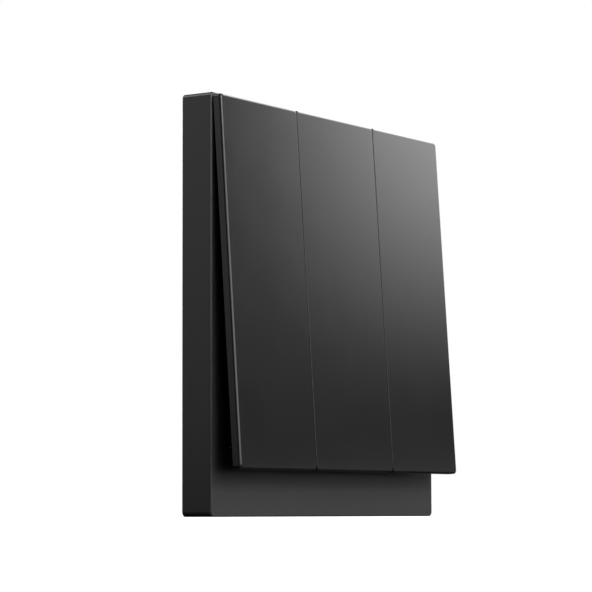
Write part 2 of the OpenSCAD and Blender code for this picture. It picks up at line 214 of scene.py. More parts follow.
def plastic(name, tone, gloss, mottle=0.02, grain_size=0.00022, grain_depth=0.0000035,
            shine=0.5):
    """A moulded plastic: tone as linear colour, gloss as a roughness range."""
    finish, tree, shader, place = new_finish(name)
    flow = noise(tree, place, FLOW_SIZE, 2.0)
    fine = noise(tree, place, grain_size, 2.0)
    dark = [c * (1.0 - mottle) for c in tone]
    light = [c * (1.0 + mottle) for c in tone]
    tree.links.new(tint(tree, flow, dark, light), shader.inputs["Base Color"])
    tree.links.new(spread(tree, flow, gloss[0], gloss[1]), shader.inputs["Roughness"])
    shader.inputs["Specular IOR Level"].default_value = shine
    wave = noise(tree, place, WAVE_SIZE, 1.0)
    grain(tree, shader, [(fine, 1.0), (wave, 0.8)], grain_depth)
    return finish


FRAME_TONE = (0.049, 0.049, 0.0498)
ROCKER_TONE = (0.0175, 0.0175, 0.0182)
CARRIER_TONE = (0.095, 0.095, 0.1)
DECK_TONE = (0.03, 0.03, 0.032)
HOUSING_TONE = (0.58, 0.565, 0.515)
ACETAL_TONE = (0.74, 0.72, 0.66)
RUBBER_TONE = (0.05, 0.047, 0.043)
FINISHES = {
    "frame_plastic": plastic("satin_frame_charcoal", FRAME_TONE, (0.24, 0.265)),
    "rocker_plastic": plastic("satin_rocker_charcoal", ROCKER_TONE, (0.15, 0.18)),
    "carrier_plastic": plastic("grey_nylon", CARRIER_TONE, (0.42, 0.52), 0.08, 0.0004),
    "deck_plastic": plastic("dark_mechanism_moulding", DECK_TONE, (0.4, 0.5), 0.08, 0.0004),
    "housing_plastic": plastic("light_nylon", HOUSING_TONE, (0.38, 0.5), 0.035, 0.0005),
    "plunger_acetal": plastic("natural_acetal", ACETAL_TONE, (0.28, 0.36), 0.03, 0.0003),
    "pad_rubber": plastic("soft_rubber", RUBBER_TONE, (0.7, 0.8), 0.12, 0.0003, 0.000012, 0.3),
}
print("plastic finishes", sorted(FINISHES))

# %% [markdown]
# ## Metals
#
# Zinc plate on pressed steel shows a cloudy bloom and rolling lines. Brass is drawn bar, so its
# lines run one way and it has faint warm stains. Copper strip and silver rivets are small but
# catch the light. Lines come from a noise stretched along the rolling direction.


# %% Metal finishes
LINE_SIZE = 0.00012     # metres between two rolling lines
LINE_STRETCH = 40.0     # how many times longer than wide a rolling line is
LINE_DEPTH = 0.0000025
CLOUD_SIZE = 0.004


def metal(name, tone, stain, gloss, line_axis):
    """A metal with rolling lines along an axis (0, 1 or 2) and cloudy stains."""
    finish, tree, shader, place = new_finish(name)
    stretch = [1.0, 1.0, 1.0]
    stretch[line_axis] = LINE_STRETCH
    clouds = noise(tree, place, CLOUD_SIZE, 4.0)
    lines = noise(tree, place, LINE_SIZE, 2.0, stretch)
    tree.links.new(tint(tree, clouds, stain, tone), shader.inputs["Base Color"])
    tree.links.new(spread(tree, lines, gloss[0], gloss[1]), shader.inputs["Roughness"])
    shader.inputs["Metallic"].default_value = 1.0
    grain(tree, shader, [(lines, 1.0), (clouds, 2.0)], LINE_DEPTH)
    return finish


Y_AXIS, Z_AXIS = 1, 2
# slot, name, tone, stain, gloss, line axis
METALS = (
    ("yoke_steel", "zinc_plated_sheet",
     (0.64, 0.65, 0.67), (0.5, 0.51, 0.52), (0.285, 0.42), Z_AXIS),
    ("screw_steel", "zinc_plated_screw",
     (0.68, 0.68, 0.66), (0.54, 0.55, 0.55), (0.28, 0.36), Y_AXIS),
    ("spring_steel", "spring_wire",
     (0.55, 0.56, 0.58), (0.42, 0.42, 0.44), (0.2, 0.32), Y_AXIS),
    ("bridge_copper", "rolled_copper",
     (0.78, 0.43, 0.27), (0.6, 0.31, 0.2), (0.28, 0.4), Z_AXIS),
    ("contact_silver", "silver_contact",
     (0.87, 0.87, 0.85), (0.72, 0.71, 0.68), (0.18, 0.3), Y_AXIS),
    ("terminal_brass", "drawn_brass",
     (0.8, 0.6, 0.27), (0.62, 0.44, 0.19), (0.28, 0.38), Z_AXIS),
)
for metal_slot, *metal_values in METALS:
    FINISHES[metal_slot] = metal(*metal_values)
print("finishes", len(FINISHES))

# %% [markdown]
# ## Turning outlines into shells
#
# Moulded panels are, at heart, stacks of rounded rectangles: each one a little further in or out
# than the last. Walking such outlines from the back edge round the front and back inside gives a
# shell with true round edges, and no Boolean cut is needed. A Bevel modifier on a box would also
# round it, but here each side needs its own radius, which the outlines give at no cost.


# %% Outline helpers
CORNER_STEPS = 6        # straight pieces in each round corner
FLAT_WEIGHT = 90        # how strongly a large face pulls the shading of its edges flat


def outline(x0, x1, z0, z1, radius):
    """Points (x, z) round a rectangle with round corners, from its lower right corner upwards."""
    points = []
    corners = ((x1 - radius, z0 + radius, -90), (x1 - radius, z1 - radius, 0))
    corners += ((x0 + radius, z1 - radius, 90), (x0 + radius, z0 + radius, 180))
    for cx, cz, start in corners:
        for step in range(CORNER_STEPS + 1):
            angle = math.radians(start + 90.0 * step / CORNER_STEPS)
            points.append((cx + radius * math.cos(angle), cz + radius * math.sin(angle)))
    return points


def loop_at(points, y):
    """An outline lifted to a depth y."""
    return [Vector((x, y, z)) for x, z in points]


def bridge(bm, loops, closed=False):
    """Joins a stack of equally long loops with faces, and gives each loop's vertices."""
    rows = [[bm.verts.new(p) for p in loop] for loop in loops]
    pairs = list(zip(rows, rows[1:]))
    if closed:
        pairs.append((rows[-1], rows[0]))
    for a, b in pairs:
        for i in range(len(a)):
            j = (i + 1) % len(a)
            bm.faces.new((a[i], a[j], b[j], b[i]))
    return rows


def finish_mesh(bm, name, finish, angle=32.0):
    """Writes a bmesh to a new object with smooth faces, and sharp edges above an angle."""
    bmesh.ops.recalc_face_normals(bm, faces=bm.faces)
    mesh = bpy.data.meshes.new(name)
    bm.to_mesh(mesh)
    bm.free()
    piece = bpy.data.objects.new(name, mesh)
    scene.collection.objects.link(piece)
    mesh.shade_smooth()
    mesh.set_sharp_from_angle(angle=math.radians(angle))
    mesh.materials.append(finish)
    weighted = piece.modifiers.new("flat faces stay flat", "WEIGHTED_NORMAL")
    weighted.keep_sharp = True
    weighted.weight = FLAT_WEIGHT
    return piece


def add_block(bm, low, high, edge):
    """Adds a block with rounded edges to a bmesh."""
    part = bmesh.new()
    bmesh.ops.create_cube(part, size=1.0)
    size = [h - l for l, h in zip(low, high)]
    middle = [(h + l) / 2 for l, h in zip(low, high)]
    bmesh.ops.scale(part, vec=size, verts=part.verts)
    bmesh.ops.translate(part, vec=middle, verts=part.verts)
    bmesh.ops.bevel(part, geom=part.edges, offset=edge, segments=2, profile=0.5,
                    affect="EDGES")
    scratch = bpy.data.meshes.new("scratch")
    part.to_mesh(scratch)
    part.free()
    bm.from_mesh(scratch)
    bpy.data.meshes.remove(scratch)


print("outline of", len(outline(-1, 1, -1, 1, 0.1)), "points")

# %% [markdown]
# ## The cover frame
#
# The frame is one moulding: a skirt with a thin skin across its front, a wide strip left below
# the opening, snap hooks on both sides and ribs behind the strip. Its corners have a radius of
# one millimetre, while the front edge is only just broken. The shell is one closed walk of
# outlines: up the outside, over the front edge, into the opening and back down the inside.

# %% Cover frame shell
frame_low, frame_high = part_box("face_frame")
yoke_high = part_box("mounting_yoke")[1]
HALF = frame_high.x
FRONT = frame_low.y
SKIRT = 2.0 * MM                        # wall of the skirt
SKIN = 1.6 * MM                         # wall of the front
OPEN_X = yoke_high.x - 1.5 * MM
OPEN_TOP = HALF - 5.5 * MM
OPEN_BOTTOM = -HALF + 14.0 * MM
OPEN_CORNER = 0.4 * MM
OPEN_EDGE = 0.2 * MM                    # rounding of the opening's edge
FRONT_EDGE = 0.3 * MM                   # rounding of the front edge
BACK_BREAK = 0.12 * MM                  # the rim on the wall is only broken
CORNER = 1.0 * MM
INNER_CORNER = 0.3 * MM
INNER_FILLET = 0.5 * MM


def square(half, radius):
    return outline(-half, half, -half, half, radius)


def opening(grow):
    return outline(-OPEN_X - grow, OPEN_X + grow, OPEN_BOTTOM - grow, OPEN_TOP + grow,
                   OPEN_CORNER + grow)


def frame_loops():
    """The outlines of the cover frame's section, in the order of one closed walk."""
    loops = [loop_at(square(HALF - BACK_BREAK, CORNER - BACK_BREAK), 0.0)]
    loops.append(loop_at(square(HALF, CORNER), -BACK_BREAK))
    for step in range(7):
        turn = math.radians(90.0 * step / 6)
        inset = FRONT_EDGE * (1.0 - math.cos(turn))
        y = FRONT + FRONT_EDGE * (1.0 - math.sin(turn))
        loops.append(loop_at(square(HALF - inset, CORNER - inset), y))
    for step in range(4):
        turn = math.radians(30.0 * step)
        grow = OPEN_EDGE * (1.0 - math.sin(turn))
        loops.append(loop_at(opening(grow), FRONT + OPEN_EDGE * (1.0 - math.cos(turn))))
    loops.append(loop_at(opening(0.0), FRONT + SKIN))
    inner = HALF - SKIRT
    loops.append(loop_at(square(inner - INNER_FILLET, INNER_CORNER), FRONT + SKIN))
    loops.append(loop_at(square(inner, INNER_CORNER), FRONT + SKIN + INNER_FILLET))
    loops.append(loop_at(square(inner, INNER_CORNER), -BACK_BREAK))
    loops.append(loop_at(square(inner + BACK_BREAK, INNER_CORNER), 0.0))
    return loops


shell = bmesh.new()
bridge(shell, frame_loops(), closed=True)
print("cover frame shell", len(shell.faces), "faces, opening", round(OPEN_X * 2000, 2), "mm wide")

# %% [markdown]
# Hooks and ribs come next. On the real moulding they are springy arms with a catch, and thin
# ribs that keep the strip flat. They are short bevelled blocks that run into the skin.

# %% Hooks and ribs of the cover frame
HOOK_Z = 14.0 * MM
HOOK_HALF = 2.3 * MM                    # half the width of a hook
ARM_GAP = 0.1 * MM                      # between the yoke's side and a hook's arm
ARM_WALL = 1.5 * MM
ARM_END = -1.6 * MM                     # depth that an arm reaches
CATCH_IN = 1.2 * MM                     # how far a catch reaches in from the arm's face
CATCH_ROOT = 0.3 * MM                   # how far it runs back into the arm
CATCH_DEPTHS = (-3.3 * MM, -2.3 * MM)
ROOT = 0.1 * MM                         # how far a block runs into the skin
RIB_X = (-28, -14, 0, 14, 28)           # mm
RIB_HALF = 0.5                          # mm
RIB_END = -3.2 * MM
RIB_GAP = 1.0 * MM                      # between a rib and the opening

for side in (-1, 1):
    for z in (-HOOK_Z, HOOK_Z):
        arm_x = yoke_high.x + ARM_GAP
        x0, x1 = sorted((side * arm_x, side * (arm_x + ARM_WALL)))
        z0, z1 = z - HOOK_HALF, z + HOOK_HALF
        add_block(shell, (x0, FRONT + SKIN - ROOT, z0), (x1, ARM_END, z1), 0.15 * MM)
        x0, x1 = sorted((side * (arm_x - CATCH_IN), side * (arm_x + CATCH_ROOT)))
        add_block(shell, (x0, CATCH_DEPTHS[0], z0), (x1, CATCH_DEPTHS[1], z1), 0.12 * MM)
for x in RIB_X:
    low = ((x - RIB_HALF) * MM, FRONT + SKIN - ROOT, -HALF + SKIRT - ROOT)
    high = ((x + RIB_HALF) * MM, RIB_END, OPEN_BOTTOM - RIB_GAP)
    add_block(shell, low, high, 0.12 * MM)
cover_frame = finish_mesh(shell, "cover_frame_moulding", FINISHES["frame_plastic"])
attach(cover_frame, "base")
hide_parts("face_frame")
print("cover frame", len(cover_frame.data.vertices), "vertices")

# %% [markdown]
# ## The rocker panels
#
# Each panel is a flat moulding that clips onto its carrier. At rest it leans, with its lower end
# out. It is easiest to build upright about its pivot and then lean, as on a drawing. The joint's
# own position gives the pivot, and the CAD panel, turned upright, gives the sizes. The edges are
# soft all round, except along the seams, where two panels meet with crisp, nearly square edges.

# %% Rocker panels
REST_LEAN = math.radians(3.67)
JOINTS = {j["name"]: j for j in frame["joints"]}
PANEL_WALL = 2.0 * MM
PANEL_CORNER = 0.7 * MM
OUTER_EDGE = 0.55 * MM
SEAM_EDGE = 0.1 * MM
BACK_EDGE = 0.15 * MM
EDGE_STEPS = 7          # straight pieces round an edge
CLIP_HALF = 4.0 * MM    # half the width of a clip
CLIP_REACH = 2.2 * MM   # how far a clip stands behind the panel
CATCH_FROM = 1.6 * MM   # where its catch begins
CLIP_Z = (12.05, 13.45)         # mm from the pivot, for the clip's arm
CLIP_CATCH_Z = (11.45, 12.3)    # mm from the pivot, for its catch
STIFFENER_X = 7.5 * MM          # from the middle of the panel
STIFFENER_HALF = 0.4 * MM
STIFFENER_REACH = 1.0 * MM
STIFFENER_Z = (13.0, 30.0)      # mm from the pivot


def pivot_of(gang):
    return Vector(JOINTS["rocker_" + gang + "_tilt"]["pos_m"])


def upright(gang):
    """The matrix that takes a panel's own upright frame to its place at rest."""
    return Matrix.Translation(pivot_of(gang)) @ Matrix.Rotation(-REST_LEAN, 4, "X")


def upright_box(node, gang):
    """The box of a CAD node in the upright frame of its gang."""
    back = upright(gang).inverted()
    points = [back @ v.co for v in frame["nodes"][node].data.vertices]
    low = Vector([min(p[i] for p in points) for i in range(3)])
    high = Vector([max(p[i] for p in points) for i in range(3)])
    return low, high


def panel_loop(x0, x1, z0, z1, edges, turn, front):
    """One outline of a panel's front edge, where every side has its own edge radius."""
    left, right, ends = edges
    inset = 1.0 - math.cos(turn)
    drop = 1.0 - math.sin(turn)
    radius = max(PANEL_CORNER - min(edges) * inset, 0.02 * MM)
    points = outline(x0 + left * inset, x1 - right * inset, z0 + ends * inset,
                     z1 - ends * inset, radius)
    meetings = ((ends, right), (right, ends), (ends, left), (left, ends))
    loop = []
    for i, (x, z) in enumerate(points):
        corner, step = divmod(i, CORNER_STEPS + 1)
        a, b = meetings[corner]
        edge = a + (b - a) * step / CORNER_STEPS
        loop.append(Vector((x, front + edge * drop, z)))
    return loop


def add_behind(bm, xs, back, ys, z_range, edge):
    """Adds a block behind a panel, with its place in z given in mm."""
    low = (xs[0], back + ys[0], z_range[0] * MM)
    high = (xs[1], back + ys[1], z_range[1] * MM)
    add_block(bm, low, high, edge)


def panel(gang):
    """A rocker panel with soft outer edges, crisp seams, clips and ribs."""
    low, high = upright_box("rocker_cap_" + gang, gang)
    back = low.y + PANEL_WALL
    left = OUTER_EDGE if gang == "left" else SEAM_EDGE
    right = OUTER_EDGE if gang == "right" else SEAM_EDGE
    edges = (left, right, OUTER_EDGE)
    bm = bmesh.new()
    x0, x1, z0, z1 = low.x, high.x, low.z, high.z
    b = BACK_EDGE
    back_outline = outline(x0 + b, x1 - b, z0 + b, z1 - b, PANEL_CORNER - b)
    loops = [loop_at(back_outline, back)]
    loops.append(loop_at(outline(x0, x1, z0, z1, PANEL_CORNER), back - b))
    for step in range(EDGE_STEPS + 1):
        turn = math.radians(90.0 * step / EDGE_STEPS)
        loops.append(panel_loop(x0, x1, z0, z1, edges, turn, low.y))
    rows = bridge(bm, loops)
    bm.faces.new(rows[0])
    bm.faces.new(rows[-1])
    clip_low, clip_high = upright_box("rocker_carrier_" + gang, gang)
    middle = (clip_low.x + clip_high.x) / 2 if gang != "middle" else 0.0
    clip_x = (middle - CLIP_HALF, middle + CLIP_HALF)
    for side in (-1, 1):
        arm, catch, rib = (sorted((side * a, side * b)) for a, b in
                           (CLIP_Z, CLIP_CATCH_Z, STIFFENER_Z))
        add_behind(bm, clip_x, back, (-ROOT, CLIP_REACH), arm, 0.12 * MM)
        add_behind(bm, clip_x, back, (CATCH_FROM, CLIP_REACH), catch, 0.1 * MM)
        for x in (middle - STIFFENER_X, middle + STIFFENER_X):
            rib_x = (x - STIFFENER_HALF, x + STIFFENER_HALF)
            add_behind(bm, rib_x, back, (-ROOT, STIFFENER_REACH), rib, 0.1 * MM)
    bmesh.ops.transform(bm, matrix=upright(gang), verts=bm.verts)
    piece = finish_mesh(bm, "rocker_panel_" + gang, FINISHES["rocker_plastic"])
    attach(piece, "rocker_" + gang)
    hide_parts("rocker_cap_" + gang)
    return piece


for gang in GANGS:
    made = panel(gang)
    print(made.name, len(made.data.vertices), "vertices")

# %% [markdown]
# ## Softened mechanism pieces
#
# The mechanism's mouldings and pressings already have their true shapes in CAD, but CAD edges
# are razor sharp. A copy of each takes a narrow Bevel. The copy's triangles are merged into flat
# faces first, so that only real edges are broken, and the sharp original is no longer shown.


# %% Soften CAD pieces
WELD = 0.000002                     # metres: closer points are one
FLAT_WITHIN = math.radians(1.0)     # faces that differ less are one flat face
EDGE_FROM = math.radians(38.0)      # sharper corners are edges


def softened(node, name, slot, edge):
    """A copy of a CAD node with broken edges, which stands for the node."""
    bm = bmesh.new()
    bm.from_mesh(frame["nodes"][node].data)
    bmesh.ops.remove_doubles(bm, verts=bm.verts, dist=WELD)
    bmesh.ops.dissolve_limit(bm, angle_limit=FLAT_WITHIN, verts=bm.verts, edges=bm.edges)
    mesh = bpy.data.meshes.new(name)
    bm.to_mesh(mesh)
    bm.free()
    for layer in ("custom_normal", "sharp_face"):
        if layer in mesh.attributes:
            mesh.attributes.remove(mesh.attributes[layer])
    piece = bpy.data.objects.new(name, mesh)
    scene.collection.objects.link(piece)
    mesh.materials.clear()
    mesh.materials.append(FINISHES[slot])
    soft = piece.modifiers.new("broken edges", "BEVEL")
    soft.width = edge
    soft.segments = 2
    soft.limit_method = "ANGLE"
    soft.angle_limit = EDGE_FROM
    soft.use_clamp_overlap = True
    weighted = piece.modifiers.new("flat faces stay flat", "WEIGHTED_NORMAL")
    weighted.keep_sharp = True
    mesh.shade_smooth()
    mesh.set_sharp_from_angle(angle=EDGE_FROM)
    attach(piece, frame["nodes"][node]["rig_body"])
    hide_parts(node)
    return piece


SHARED_PIECES = (
    ("mounting_yoke", "yoke_pressing", "yoke_steel", 0.12),
    ("mechanism_housing", "housing_moulding", "housing_plastic", 0.15),
    ("bearing_deck", "deck_moulding", "deck_plastic", 0.15),
    ("deck_screws", "deck_screw_set", "screw_steel", 0.12),
    ("stop_pads", "stop_pad_set", "pad_rubber", 0.2),
    ("terminal_screws", "clamp_screw_set", "screw_steel", 0.1),
)
GANG_PIECES = (
    ("rocker_carrier_", "carrier_", "carrier_plastic", 0.12),
    ("plunger_", "plunger_pin_", "plunger_acetal", 0.1),
    ("contact_bridge_", "bridge_", "bridge_copper", 0.06),
    ("moving_contacts_", "moving_rivets_", "contact_silver", 0.12),
    ("fixed_contacts_", "fixed_rivets_", "contact_silver", 0.12),
    ("common_terminal_", "common_terminal_bar_", "terminal_brass", 0.08),
    ("upper_terminal_", "upper_terminal_bar_", "terminal_brass", 0.08),
    ("lower_terminal_", "lower_terminal_bar_", "terminal_brass", 0.08),
)
soft_pieces = {}
for node, name, slot, edge_mm in SHARED_PIECES:
    soft_pieces[name] = softened(node, name, slot, edge_mm * MM)
for gang in GANGS:
    for node, name, slot, edge_mm in GANG_PIECES:
        soft_pieces[name + gang] = softened(node + gang, name + gang, slot, edge_mm * MM)
housing = soft_pieces["housing_moulding"]
print("softened pieces", len(soft_pieces))

# %% [markdown]
# ## Marks moulded into the housing
#
# The back of a real mechanism is where the electrician looks. It carries a letter or number by
# each wire entry, a channel like a strip gauge, and the round witness marks of the mould's ejector
# pins. They are cut into a copy of the moulding by a Boolean with one cutter, and they stay
# shallow, so that the wall behind them keeps its strength.

# %% Marks on the housing
MARK_DEPTH = 0.35 * MM
MARK_SIZE = 3.3 * MM
MARKS = (("L", -3.4, 11.4), ("1", 3.4, 11.4), ("2", 0.0, -11.2))    # mm from the pivot
housing_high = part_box("mechanism_housing")[1]
PIVOT_Z = pivot_of("middle").z


def letter_cutter(text, x, z, size):
    """A solid letter that reads from behind, ready to cut into the back face."""
    curve = bpy.data.curves.new("mark_" + text, "FONT")
    curve.body = text
    curve.size = size
    curve.align_x = "CENTER"
    curve.align_y = "CENTER"
    curve.extrude = MARK_DEPTH
    letter = bpy.data.objects.new("mark_" + text, curve)
    scene.collection.objects.link(letter)
    bpy.context.view_layer.update()
    ready = letter.evaluated_get(bpy.context.evaluated_depsgraph_get())
    mesh = bpy.data.meshes.new_from_object(ready)
    turn = Matrix.Rotation(math.pi, 4, "Z") @ Matrix.Rotation(math.pi / 2, 4, "X")
    mesh.transform(Matrix.Translation((x, housing_high.y, z)) @ turn)
    bpy.data.objects.remove(letter)
    return mesh


cutter = bmesh.new()
for gang in GANGS:
    gang_x = pivot_of(gang).x
    for text, x, z in MARKS:
        mark = letter_cutter(text, gang_x + x * MM, PIVOT_Z + z * MM, MARK_SIZE)
        cutter.from_mesh(mark)
        bpy.data.meshes.remove(mark)
print("letters", len(cutter.verts), "vertices")

# %% [markdown]
# The plain marks are next: round ejector marks and a straight channel. The housing's sides get
# shallow recesses, which a moulder adds to keep the walls evenly thick.

# %% Strip gauge, ejector marks and side recesses
EJECTOR_X = (-20.0, -7.5, 7.5, 20.0)    # mm
EJECTOR_Z = (-8.0, 8.0)                 # mm from the pivot
EJECTOR_RADIUS = 1.5 * MM
EJECTOR_DEPTH = 0.2 * MM
EJECTOR_SIDES = 28
GAUGE_HALF = (11.0 * MM, 0.5 * MM, 1.1 * MM)     # half its length, depth and width
RECESS_Z = (-9.0, 0.0, 9.0)             # mm from the pivot
RECESS_HALF = 3.2 * MM
RECESS_DEPTH = 0.25 * MM
SIDE_INSET = 1.9 * MM                   # the sides lie inside the box, which the front rim sets
RECESS_FROM = 2.0 * MM                  # behind the wall plane
RECESS_MARGIN = 2.2 * MM                # to the back face

for x in EJECTOR_X:
    for z in EJECTOR_Z:
        place = Matrix.Translation((x * MM, housing_high.y, PIVOT_Z + z * MM))
        bmesh.ops.create_cone(cutter, cap_ends=True, segments=EJECTOR_SIDES,
                              radius1=EJECTOR_RADIUS, radius2=EJECTOR_RADIUS,
                              depth=2 * EJECTOR_DEPTH,
                              matrix=place @ Matrix.Rotation(math.pi / 2, 4, "X"))
gauge_at = Vector((0.0, housing_high.y, PIVOT_Z))
add_block(cutter, gauge_at - Vector(GAUGE_HALF), gauge_at + Vector(GAUGE_HALF), 0.3 * MM)
for side in (-1, 1):
    for z in RECESS_Z:
        deep = housing_high.x - SIDE_INSET - RECESS_DEPTH
        x0, x1 = sorted((side * deep, side * housing_high.x))
        low = (x0, RECESS_FROM, PIVOT_Z + z * MM - RECESS_HALF)
        high = (x1, housing_high.y - RECESS_MARGIN, PIVOT_Z + z * MM + RECESS_HALF)
        add_block(cutter, low, high, 0.1 * MM)
print("cutter", len(cutter.verts), "vertices")

# %% [markdown]
# One Boolean takes all the marks away. Its result is applied to the mesh at once, so the moulding
# is a plain mesh again and its cutter can go.

# %% Cut the marks
cutter_mesh = bpy.data.meshes.new("housing_cutter")
cutter.to_mesh(cutter_mesh)
cutter.free()
cutter_piece = bpy.data.objects.new("housing_cutter", cutter_mesh)
scene.collection.objects.link(cutter_piece)
cut = housing.modifiers.new("marks", "BOOLEAN")
cut.operation = "DIFFERENCE"
cut.solver = "EXACT"
cut.object = cutter_piece
housing.modifiers.move(housing.modifiers.find("marks"), 1)
bpy.context.view_layer.update()
ready = housing.evaluated_get(bpy.context.evaluated_depsgraph_get())
housing_mesh = bpy.data.meshes.new_from_object(ready)
housing.modifiers.clear()
housing.data = housing_mesh
bpy.data.objects.remove(cutter_piece)
print("housing with marks", len(housing_mesh.vertices), "vertices")

# %% [markdown]
# ## The plunger springs
#
# A real compression spring is round wire with closed ends. A little over four working turns run
# between two nearly flat ends. A helix of rings is worked out directly, with enough sides to look
# round. The spring shortens as its plunger is pressed.


# %% Springs
WIRE = 0.15 * MM        # radius of the wire
TURNS = 6.0
RINGS_PER_TURN = 26
WIRE_SIDES = 10
END_TURN = 0.85         # turns that lie nearly flat at each end
END_RISE = 0.945 * WIRE     # height that such an end gains


def coil_height(t, start, finish):
    """The height of the wire's middle after t turns: flat ends, and a steady run between."""
    low = END_RISE * min(t / END_TURN, 1.0)
    high = END_RISE * max((t - TURNS + END_TURN) / END_TURN, 0.0)
    working = min(max((t - END_TURN) / (TURNS - 2 * END_TURN), 0.0), 1.0)
    return start + low + working * (finish - start - 2 * END_RISE) + high


def spring(gang):
    """A round-wire spring in a carrier's stem, between the stem's floor and the plunger."""
    low, high = upright_box("plunger_spring_" + gang, gang)
    coil = (high.x - low.x) / 2 - WIRE
    start = low.y + WIRE
    finish = high.y - WIRE
    bm = bmesh.new()
    rings = []
    for k in range(int(TURNS * RINGS_PER_TURN) + 1):
        t = k / RINGS_PER_TURN
        y = coil_height(t, start, finish)
        a = 2.0 * math.pi * t
        ring = []
        for side in range(WIRE_SIDES):
            w = 2.0 * math.pi * side / WIRE_SIDES
            r = coil + WIRE * math.cos(w)
            ring.append(Vector((r * math.cos(a), y + WIRE * math.sin(w), r * math.sin(a))))
        rings.append(ring)
    rows = bridge(bm, rings)
    bm.faces.new(rows[0])
    bm.faces.new(rows[-1])
    bmesh.ops.transform(bm, matrix=upright(gang), verts=bm.verts)
    piece = finish_mesh(bm, "coil_spring_" + gang, FINISHES["spring_steel"], 60.0)
    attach(piece, "rocker_" + gang)
    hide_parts("plunger_spring_" + gang)
    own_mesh(piece)
    return piece


for gang in GANGS:
    print(spring(gang).name, "made")

# %% [markdown]
# ## The floor
#
# The part stands on a plain pale floor in a white studio. The floor glows a little, so that it
# nearly reaches the white of the background, and only the soft shadow at the plate's foot tells
# them apart. It is hidden from mirrored and scattered light: a pale floor would otherwise light
# the dark panels from below and wash out their gradient.


# %% Floor
def flat_sheet(name, x0, x1, y0, y1, z):
    """A rectangle that lies flat, linked to the scene."""
    mesh = bpy.data.meshes.new(name)
    mesh.from_pydata([(x0, y0, z), (x1, y0, z), (x1, y1, z), (x0, y1, z)], [], [(0, 1, 2, 3)])
    sheet = bpy.data.objects.new(name, mesh)
    scene.collection.objects.link(sheet)
    return sheet


FLOOR_HALF = 0.75
FLOOR_BACK = 0.06       # the floor ends a little behind the wall plane
FLOOR_GAP = 0.0002      # below the plate
FLOOR_GLOW = 0.7
FLOOR_LOOK = {
    "Base Color": (0.9, 0.9, 0.9, 1.0),
    "Roughness": 0.9,
    "Specular IOR Level": 0.1,
    "Emission Color": (1.0, 1.0, 1.0, 1.0),
    "Emission Strength": FLOOR_GLOW,
}
floor = flat_sheet("studio_floor", -FLOOR_HALF, FLOOR_HALF, -FLOOR_HALF, FLOOR_BACK,
                   cad_box[0][2] - FLOOR_GAP)
floor_finish, _, floor_shader, _ = new_finish("pale_floor")
for socket, value in FLOOR_LOOK.items():
    floor_shader.inputs[socket].default_value = value
floor.data.materials.append(floor_finish)
floor.visible_diffuse = False
floor.visible_glossy = False
print("floor at", round(cad_box[0][2] - FLOOR_GAP, 4))

# %% [markdown]
# ## Soft light panels
#
# Dark satin plastic shows almost nothing of its own colour: what is seen is mostly what it
# mirrors. So the lights are glowing sheets that fade towards their edges, as real soft boxes do.
# A sheet adds its glow to whatever is behind it, so that two sheets can overlap and their
# strengths simply add up. An area lamp could light the part too, but its edge wouldn't fade.


# %% Light panel helpers
def fade_in(tree, place, edge, run, sign):
    """A value that grows smoothly from 0 at an edge to 1 at a distance inwards."""
    ramp = tree.nodes.new("ShaderNodeMapRange")
    ramp.interpolation_type = "SMOOTHSTEP"
    ramp.inputs["From Min"].default_value = edge
    ramp.inputs["From Max"].default_value = edge + sign * run
    tree.links.new(place, ramp.inputs["Value"])
    return ramp.outputs["Result"]


def times(tree, first, second):
    """The product of a value with another value or a number."""
    product = tree.nodes.new("ShaderNodeMath")
    product.operation = "MULTIPLY"
    tree.links.new(first, product.inputs[0])
    if isinstance(second, float):
        product.inputs[1].default_value = second
    else:
        tree.links.new(second, product.inputs[1])
    return product.outputs["Value"]


def glow_finish(name, w, h, strength, fades):
    """A glow that fades at the four edges (left, right, bottom, top), and is clear otherwise."""
    glow = bpy.data.materials.new(name)
    glow.use_nodes = True
    tree = glow.node_tree
    tree.nodes.clear()
    place = tree.nodes.new("ShaderNodeTexCoord")
    split = tree.nodes.new("ShaderNodeSeparateXYZ")
    tree.links.new(place.outputs["Object"], split.inputs["Vector"])
    x, y = split.outputs["X"], split.outputs["Y"]
    edges = ((x, -w, fades[0], 1), (x, w, fades[1], -1), (y, -h, fades[2], 1), (y, h, fades[3], -1))
    product = None
    for along, edge, run, sign in edges:
        ramp = fade_in(tree, along, edge, run, sign)
        product = ramp if product is None else times(tree, product, ramp)
    emission = tree.nodes.new("ShaderNodeEmission")
    clear = tree.nodes.new("ShaderNodeBsdfTransparent")
    both = tree.nodes.new("ShaderNodeAddShader")
    out = tree.nodes.new("ShaderNodeOutputMaterial")
    tree.links.new(times(tree, product, strength), emission.inputs["Strength"])
    tree.links.new(emission.outputs["Emission"], both.inputs[0])
    tree.links.new(clear.outputs["BSDF"], both.inputs[1])
    tree.links.new(both.outputs["Shader"], out.inputs["Surface"])
    return glow


def light_panel(name, centre, aim, width, height, strength, fades):
    """A glowing sheet that faces a point and is hidden from the camera."""
    w, h = width / 2, height / 2
    sheet = flat_sheet(name, -w, w, -h, h, 0.0)
    sheet.location = centre
    sheet.rotation_mode = "QUATERNION"
    sheet.rotation_quaternion = (Vector(aim) - Vector(centre)).to_track_quat("Z", "Y")
    sheet.data.materials.append(glow_finish(name + "_glow", w, h, strength, fades))
    sheet.visible_camera = False


def towards(azimuth, elevation, distance):
    """A point seen from the object at an azimuth from the front (right is positive)."""
    a, e = math.radians(azimuth), math.radians(elevation)
    flat = distance * math.cos(e)
    return Vector((flat * math.sin(a), -flat * math.cos(a), distance * math.sin(e)))


print("straight ahead at 1 m is", [round(c, 3) for c in towards(0.0, 0.0, 1.0)])

